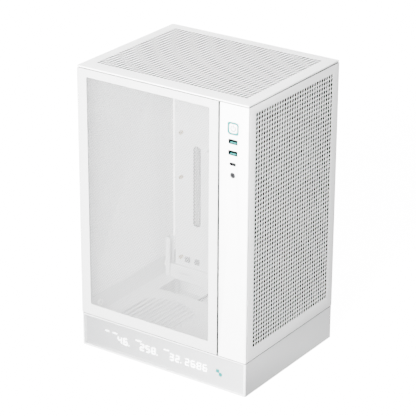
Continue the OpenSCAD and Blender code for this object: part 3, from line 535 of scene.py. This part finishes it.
class PerforatedSheet:
    """A closed sheet in u and v with a square grid of round holes and rounded outer edges."""

    def __init__(self, low, high, corner, grid, shift, radius, deep=SHEET):
        self.verts, self.faces = [], []
        self.sides = (0.0, -SHEET)
        self.radii = (radius, radius + HOLE_FLARE)
        self.columns, self.rows = grid
        cells = self.holes(hole_grid(low, high, grid, shift))
        loops = self.rim(low, high, corner, deep)
        self.border(loops[0], cells, 0)
        self.border(loops[-1], cells, 1)

    def vert(self, u, v, w):
        """Adds a vertex and returns its number."""
        self.verts.append((u, v, w))
        return len(self.verts) - 1

    def holes(self, start):
        """The grid of cells. Returns the corner vertices of both sides."""
        grid = [[[self.vert(start[0] + i * HOLE_PITCH, start[1] + j * HOLE_PITCH, side)
                  for side in self.sides] for j in range(self.rows + 1)]
                for i in range(self.columns + 1)]
        quarter = HOLE_SIDES // 4
        for i in range(self.columns):
            for j in range(self.rows):
                centre = [start[0] + (i + 0.5) * HOLE_PITCH, start[1] + (j + 0.5) * HOLE_PITCH]
                ring = self.ring(centre)
                corners = [grid[i][j], grid[i + 1][j], grid[i + 1][j + 1], grid[i][j + 1]]
                for s in range(4):
                    arc = [ring[(s * quarter + k) % HOLE_SIDES] for k in range(quarter + 1)]
                    pair = [corners[s], corners[(s + 1) % 4]]
                    face = pair + arc[::-1]
                    self.faces.append([p[0] for p in face])
                    self.faces.append([p[1] for p in face[::-1]])
        return grid

    def ring(self, centre):
        """One hole's edge on both sides, with its wall."""
        ring = []
        for k in range(HOLE_SIDES):
            turn = -0.75 * math.pi + k * 2 * math.pi / HOLE_SIDES
            ring.append([self.vert(centre[0] + radius * math.cos(turn),
                                   centre[1] + radius * math.sin(turn), side)
                         for side, radius in zip(self.sides, self.radii)])
        for k in range(HOLE_SIDES):
            a, b = ring[k], ring[(k + 1) % HOLE_SIDES]
            self.faces.append([a[0], b[0], b[1], a[1]])
        return ring

    def rim(self, low, high, corner, deep):
        """Rounded outer edge in loops from front to back; one deeper than SHEET folds in."""
        turns = [k * math.pi / 8 for k in range(5)]
        front = [(SHEET_RADIUS * (1 - math.sin(t)), -SHEET_RADIUS * (1 - math.cos(t)))
                 for t in turns]
        profile = front + [(inset, -deep - w) for inset, w in front[::-1]]
        if deep > SHEET:
            profile += [(TOP_RIM, -deep), (TOP_RIM, -SHEET)]
        loops = []
        for inset, w in profile:
            shape = outline((low[0] + inset, low[1] + inset), (high[0] - inset, high[1] - inset),
                            max(corner - inset, 0.1 * MM))
            loops.append([[self.vert(u, v, w) for u, v in points] for points in shape])
        for a, b in zip(loops, loops[1:]):
            flat_a, flat_b = sum(a, []), sum(b, [])
            for k in range(len(flat_a)):
                n = (k + 1) % len(flat_a)
                self.faces.append([flat_a[k], flat_b[k], flat_b[n], flat_a[n]])
        return loops

    def border(self, loop, grid, side):
        """Plain sheet between the grid of holes and the rim, in four faces."""
        columns, rows = self.columns, self.rows
        edges = [
            [grid[i][0][side] for i in range(columns + 1)],
            [grid[columns][j][side] for j in range(rows + 1)],
            [grid[columns - i][rows][side] for i in range(columns + 1)],
            [grid[0][rows - j][side] for j in range(rows + 1)],
        ]
        for s in range(4):
            here, there = loop[s], loop[(s + 1) % 4]
            middle = len(here) // 2
            face = here[middle:] + there[:middle + 1] + edges[s][::-1]
            self.faces.append(face if side == 0 else face[::-1])


def hole_grid(low, high, grid, shift):
    """Where the grid starts, for a grid centred on the sheet and then shifted."""
    return [(low[k] + high[k] - n * HOLE_PITCH) / 2 + shift[k] for k, n in enumerate(grid)]


def bar_mesh(verts, faces, low, high):
    """Adds a plain bar between two corners to a list of vertices and faces."""
    base = len(verts)
    for x in (low[0], high[0]):
        for y in (low[1], high[1]):
            for z in (low[2], high[2]):
                verts.append((x, y, z))
    quads = ((0, 1, 3, 2), (4, 6, 7, 5), (0, 4, 5, 1), (2, 3, 7, 6), (0, 2, 6, 4), (1, 5, 7, 3))
    faces.extend([base + k for k in quad] for quad in quads)


def right_panel(materials):
    """Perforated side: the outer sheet with real holes, and its folded rims."""
    low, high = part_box("right_panel")
    sheet = PerforatedSheet((low.y, low.z), (high.y, high.z), PANEL_CORNER,
                            PANEL_GRID, PANEL_SHIFT, PANEL_HOLE_RADIUS)
    verts = [(high.x + w, u, v) for u, v, w in sheet.verts]
    faces = list(sheet.faces)
    inset = PANEL_FLANGE_INSET
    for bottom in (low.z + inset, high.z - inset - SHEET):
        bar_mesh(verts, faces, (low.x, low.y + inset, bottom),
                 (high.x - SHEET, high.y - PANEL_FLANGE_STOP, bottom + SHEET))
    mesh = mesh_from("right_panel_holes", verts, faces)
    piece("right_panel_holes", mesh, materials, "right_panel")


def top_cover(materials):
    """Perforated lift-off top."""
    low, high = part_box("top_cover")
    sheet = PerforatedSheet((low.x, low.y), (high.x, high.y), TOP_CORNER,
                            TOP_GRID, TOP_SHIFT, TOP_HOLE_RADIUS, high.z - low.z)
    verts = [(u, v, high.z + w) for u, v, w in sheet.verts]
    mesh = mesh_from("top_cover_holes", verts, sheet.faces)
    piece("top_cover_holes", mesh, materials, "top_cover")


def hexagon(radius):
    """Corner offsets of a hexagon that stands on a point."""
    turns = [math.pi / 6 + k * math.pi / 3 for k in range(6)]
    return [(radius * math.cos(t), radius * math.sin(t)) for t in turns]


def mesh_strip(name, low, high, first_row, rows):
    """Some rows of the door's fine mesh: hexagonal holes in a thin steel sheet."""
    outer, inner = hexagon(MESH_RADIUS), hexagon(MESH_RADIUS * MESH_OPEN)
    columns = int((high.x - low.x) / MESH_PITCH) - 1
    x0 = (low.x + high.x - columns * MESH_PITCH) / 2 + MESH_PITCH / 4
    shared, edges, verts, faces = {}, set(), [], []

    def both_sides(x, z):
        verts.extend([(x, low.y, z), (x, high.y, z)])

    def corner(x, z):
        """A corner that neighbouring hexagons share."""
        key = (round(x * 1e6), round(z * 1e6))
        if key not in shared:
            shared[key] = len(verts)
            both_sides(x, z)
        return shared[key]

    for row in range(first_row, first_row + rows):
        z = low.z + MESH_RADIUS + row * MESH_RISE
        for column in range(columns):
            x = x0 + (column + 0.5 * (row % 2)) * MESH_PITCH
            rim = [corner(x + dx, z + dz) for dx, dz in outer]
            base = len(verts)
            for dx, dz in inner:
                both_sides(x + dx, z + dz)
            hole = [base + 2 * k for k in range(6)]
            for k in range(6):
                n = (k + 1) % 6
                edges.add((rim[k], rim[n]))
                faces.append([rim[k], hole[k], hole[n], rim[n]])
                faces.append([rim[k] + 1, rim[n] + 1, hole[n] + 1, hole[k] + 1])
                faces.append([hole[k], hole[k] + 1, hole[n] + 1, hole[n]])
    faces.extend([a, b, b + 1, a + 1] for a, b in sorted(edges) if (b, a) not in edges)
    return mesh_from(name, verts, faces)


def door_mesh(materials):
    """The fine mesh, in four strips so that no piece is too dense."""
    low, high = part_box("door_mesh")
    total = int((high.z - low.z - MESH_PITCH) / MESH_RISE)
    for strip in range(MESH_STRIPS):
        first = total * strip // MESH_STRIPS
        rows = total * (strip + 1) // MESH_STRIPS - first
        name = f"door_mesh_{strip + 1}"
        mesh = mesh_strip(name, low, high, first, rows)
        piece(name, mesh, materials, "door_mesh")


# ---------------------------------------------------------------- power button
def arc_bar(verts, faces, centre, y):
    """The power sign's open ring: a flat bent bar in X and Z with its front at y."""
    base = len(verts)
    start, end = SIGN_HALF_GAP, 2 * math.pi - SIGN_HALF_GAP
    for k in range(SIGN_STEPS + 1):
        turn = start + (end - start) * k / SIGN_STEPS
        for r in (SIGN_RADIUS - SIGN_LINE / 2, SIGN_RADIUS + SIGN_LINE / 2):
            for w in (y, y + SIGN_DEPTH):
                verts.append((centre[0] + r * math.sin(turn), w, centre[1] + r * math.cos(turn)))
    for k in range(SIGN_STEPS):
        a, b = base + 4 * k, base + 4 * k + 4
        faces.extend([[a, a + 2, b + 2, b], [a + 1, b + 1, b + 3, a + 3],
                      [a, b, b + 1, a + 1], [a + 2, a + 3, b + 3, b + 2]])
    last = base + 4 * SIGN_STEPS
    faces.extend([[base, base + 1, base + 3, base + 2],
                  [last, last + 2, last + 3, last + 1]])


def power_symbol(materials):
    """The usual on and off sign, printed in grey on the face of the power button."""
    low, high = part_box("power_button")
    centre = ((low.x + high.x) / 2, (low.z + high.z) / 2)
    verts, faces = [], []
    front = low.y - SIGN_PROUD
    arc_bar(verts, faces, centre, front)
    bar_mesh(verts, faces, (centre[0] - SIGN_LINE / 2, front, centre[1] + SIGN_BAR[0]),
             (centre[0] + SIGN_LINE / 2, front + SIGN_DEPTH, centre[1] + SIGN_BAR[1]))
    mesh = mesh_from("power_symbol", verts, faces)
    piece("power_symbol", mesh, materials, "power_button", replaces=False, slot="display_mask")


# ---------------------------------------------------------------- camera, light and floor
def make_camera():
    """A long lens from the front right, above the case."""
    azimuth, elevation, roll = (math.radians(turn) for turn in CAMERA_TURNS)
    back = Vector((math.sin(azimuth) * math.cos(elevation),
                   -math.cos(azimuth) * math.cos(elevation), math.sin(elevation)))
    right = Vector((math.cos(azimuth), math.sin(azimuth), 0.0))
    up = back.cross(right)
    right, up = (right * math.cos(roll) + up * math.sin(roll),
                 up * math.cos(roll) - right * math.sin(roll))
    place = MIDDLE + back * CAMERA_DISTANCE - up * CAMERA_DROP
    data = bpy.data.cameras.new("camera")
    data.lens, data.sensor_width = LENS, SENSOR
    data.clip_end = CLIP_END
    camera = bpy.data.objects.new("camera", data)
    bpy.context.scene.collection.objects.link(camera)
    rotation = Matrix((right, up, back)).transposed().to_4x4()
    camera.matrix_world = Matrix.Translation(place) @ rotation
    bpy.context.scene.camera = camera


def area_light(name, place, size, power):
    """A square light that faces the middle of the case."""
    data = bpy.data.lights.new(name, "AREA")
    data.shape, data.size, data.energy = "SQUARE", size, power
    light = bpy.data.objects.new(name, data)
    bpy.context.scene.collection.objects.link(light)
    light.location = place
    aim = MIDDLE - Vector(place)
    light.rotation_euler = aim.to_track_quat("-Z", "Y").to_euler()


def make_lights():
    """Soft studio light: a key close in front, fills behind, and even light from all round."""
    world = bpy.data.worlds.new("studio")
    bpy.context.scene.world = world
    world.use_nodes = True
    tree = world.node_tree
    background = tree.nodes["Background"]
    around = add(tree, "ShaderNodeTexCoord").outputs["Generated"]
    height = spread(tree, along(tree, around, "Z"), 0.0, 1.0, (-0.25, 0.1))
    tree.links.new(mixed(tree, height, WORLD_LOW, WORLD_HIGH), background.inputs["Color"])
    background.inputs["Strength"].default_value = WORLD_STRENGTH
    for light in LIGHTS:
        area_light(*light)


def make_floor():
    """A pale floor that glows white for the camera and lights nothing else."""
    bm = bmesh.new()
    bmesh.ops.create_grid(bm, x_segments=2, y_segments=2, size=FLOOR_SIZE)
    mesh = bpy.data.meshes.new("floor")
    bm.to_mesh(mesh)
    bm.free()
    floor = bpy.data.objects.new("floor", mesh)
    bpy.context.scene.collection.objects.link(floor)
    material, tree, shader, where = start_material("floor")
    grain = noise(tree, where, 30.0, 4.0)
    tree.links.new(mixed(tree, grain, (0.95, 0.95, 0.95), WHITE), shader.inputs["Base Color"])
    shader.inputs["Roughness"].default_value = 0.9
    shader.inputs["Emission Color"].default_value = (1.0, 1.0, 1.0, 1.0)
    shader.inputs["Emission Strength"].default_value = FLOOR_GLOW
    mesh.materials.append(material)
    floor.visible_diffuse = False
    floor.visible_glossy = False


# ---------------------------------------------------------------- the scene
def paint_nodes(materials):
    """Gives every CAD node its slot's material."""
    for name, obj in NODES.items():
        obj.data.materials.clear()
        obj.data.materials.append(materials[slot_of(name)])


def build():
    """Sets the studio up, then adds every piece."""
    make_camera()
    make_lights()
    make_floor()
    materials = make_materials()
    paint_nodes(materials)
    for node, width in SOFTENED.items():
        softened(node, materials, width)
    right_panel(materials)
    top_cover(materials)
    door_mesh(materials)
    power_symbol(materials)


build()
